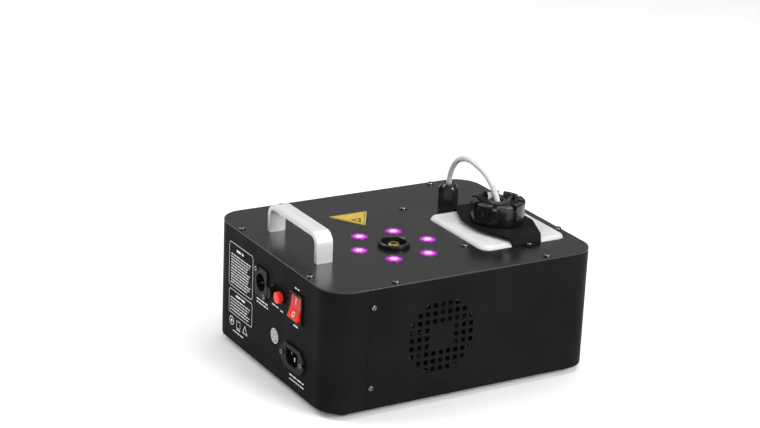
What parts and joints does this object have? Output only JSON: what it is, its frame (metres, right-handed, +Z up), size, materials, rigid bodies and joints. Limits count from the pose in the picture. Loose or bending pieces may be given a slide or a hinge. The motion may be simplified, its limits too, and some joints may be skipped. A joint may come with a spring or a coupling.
{
  "type": "fog machine",
  "caption": "Black sheet-metal fog machine with an upward nozzle in a ring of lamps, a fluid tank with a screw cap and suction hose, a strap handle and an end control panel.",
  "frame": {"origin": "middle of the machine's footprint, controls included, on the surface it stands on", "axes": "+Z up through the nozzle, +X along the long side away from the control panel, -Y towards the fan grille"},
  "size_m": [0.318, 0.257, 0.1947],
  "materials": {
    "black_sheet": "semi-gloss black powder coat",
    "zinc_sheet": "zinc-plated sheet",
    "black_screw": "black oxide, slightly glossy",
    "plated_screw": "zinc-plated",
    "foot_rubber": "moulded black rubber",
    "handle_silver": "satin silver paint",
    "warning_yellow": "printed vinyl sticker",
    "nozzle_black": "heat-resistant black",
    "nozzle_brass": "machined brass",
    "heater_metal": "die-cast aluminium",
    "element_steel": "stainless sheath",
    "thermostat_body": "phenolic and steel",
    "lamp_lens": "clear lens, lit magenta",
    "circuit_board": "green solder mask",
    "board_part": "black and blue parts",
    "nylon_post": "natural nylon",
    "pump_plastic": "glass-filled nylon",
    "coil_case": "potted winding",
    "spring_steel": "spring wire",
    "plunger_steel": "stainless steel",
    "fan_plastic": "black moulded plastic",
    "tank_plastic": "translucent white polyethylene",
    "foam_pad": "closed-cell foam",
    "cap_plastic": "black polypropylene",
    "seal_rubber": "black rubber",
    "hose_silicone": "translucent silicone",
    "heater_tube_ptfe": "white PTFE tube",
    "filter_metal": "sintered filter",
    "gland_nylon": "black nylon",
    "socket_black": "black plastic",
    "contact_metal": "plated contacts",
    "fuse_glass": "glass tube with metal ends",
    "button_red": "red button",
    "rocker_red": "translucent red, lit from inside"
  },
  "bodies": {
    "root": {"lid": "black_sheet", "lid_screws": "black_screw", "main_shell": "black_sheet", "end_shell": "black_sheet", "seam_screws": "black_screw", "base_plate": "zinc_sheet", "base_screws": "plated_screw", "feet": "foot_rubber", "wall_brackets": "zinc_sheet", "handle": "handle_silver", "handle_screws": "plated_screw", "warning_label": "warning_yellow", "bulkhead": "zinc_sheet", "nozzle_ring": "nozzle_black", "nozzle_tube": "nozzle_brass", "heater_block": "heater_metal", "heater_element": "element_steel", "heater_bracket": "zinc_sheet", "thermostats": "thermostat_body", "led_lenses": "lamp_lens", "led_board": "circuit_board", "board_posts": "nylon_post", "control_board": "circuit_board", "board_components": "board_part", "pump_body": "pump_plastic", "pump_coil": "coil_case", "pump_spring": "spring_steel", "pump_bracket": "zinc_sheet", "fan_frame": "fan_plastic", "fan_studs": "plated_screw", "tank": "tank_plastic", "tank_pad": "foam_pad", "tank_clamp": "black_sheet", "clamp_screws": "black_screw", "suction_hose": "hose_silicone", "feed_hose": "hose_silicone", "heater_tube": "heater_tube_ptfe", "gland_body": "gland_nylon", "gland_nut": "gland_nylon", "gland_locknut": "plated_screw", "remote_socket": "socket_black", "socket_pins": "contact_metal", "panel_screws": "black_screw", "fuse_holder": "socket_black", "button_housing": "socket_black", "button_spring": "spring_steel", "rocker_frame": "socket_black", "mains_inlet": "socket_black", "inlet_pins": "contact_metal"},
    "fan_rotor": {"fan_rotor": "fan_plastic"},
    "pump_plunger": {"pump_plunger": "plunger_steel"},
    "cap_insert": {"cap_gasket": "seal_rubber", "cap_grommet": "seal_rubber", "pickup_tube": "hose_silicone", "pickup_filter": "filter_metal"},
    "tank_cap": {"tank_cap": "cap_plastic"},
    "fuse": {"fuse_link": "fuse_glass"},
    "fuse_cap": {"fuse_cap": "socket_black"},
    "button": {"button_cap": "button_red"},
    "rocker": {"rocker_paddle": "rocker_red"}
  },
  "joints": [
    {"name": "fan_spin", "type": "hinge", "parent": "root", "child": "fan_rotor", "pos_m": [-0.026, -0.1, 0.0707], "axis": [0, 1, 0], "continuous": true},
    {"name": "pump_stroke", "type": "slide", "parent": "root", "child": "pump_plunger", "axis": [-1, 0, 0], "range_m": [0, 0.003], "stiffness_N_per_m": 800, "deforming": ["pump_spring"]},
    {"name": "cap_lift", "type": "slide", "parent": "root", "child": "cap_insert", "axis": [0, 0, 1], "range_m": [0, 0.015], "deforming": ["suction_hose"]},
    {"name": "cap_turn", "type": "hinge", "parent": "cap_insert", "child": "tank_cap", "pos_m": [0.099, -0.0265, 0.15], "axis": [0, 0, 1], "range_deg": [0, 1080]},
    {"name": "fuse_pull", "type": "slide", "parent": "root", "child": "fuse", "axis": [-1, 0, 0], "range_m": [0, 0.03]},
    {"name": "fuse_cap_turn", "type": "hinge", "parent": "fuse", "child": "fuse_cap", "pos_m": [-0.151, -0.011, 0.096], "axis": [-1, 0, 0], "range_deg": [-60, 0]},
    {"name": "button_press", "type": "slide", "parent": "root", "child": "button", "axis": [1, 0, 0], "range_m": [0, 0.0024], "stiffness_N_per_m": 500, "deforming": ["button_spring"]},
    {"name": "rocker_tilt", "type": "hinge", "parent": "root", "child": "rocker", "pos_m": [-0.15, -0.0585, 0.096], "axis": [0, -1, 0], "range_deg": [0, 22]}
  ],
  "couplings": [
    {"joint": "cap_lift", "follows": "cap_turn", "m_per_rad": 0.00079577}
  ]
}
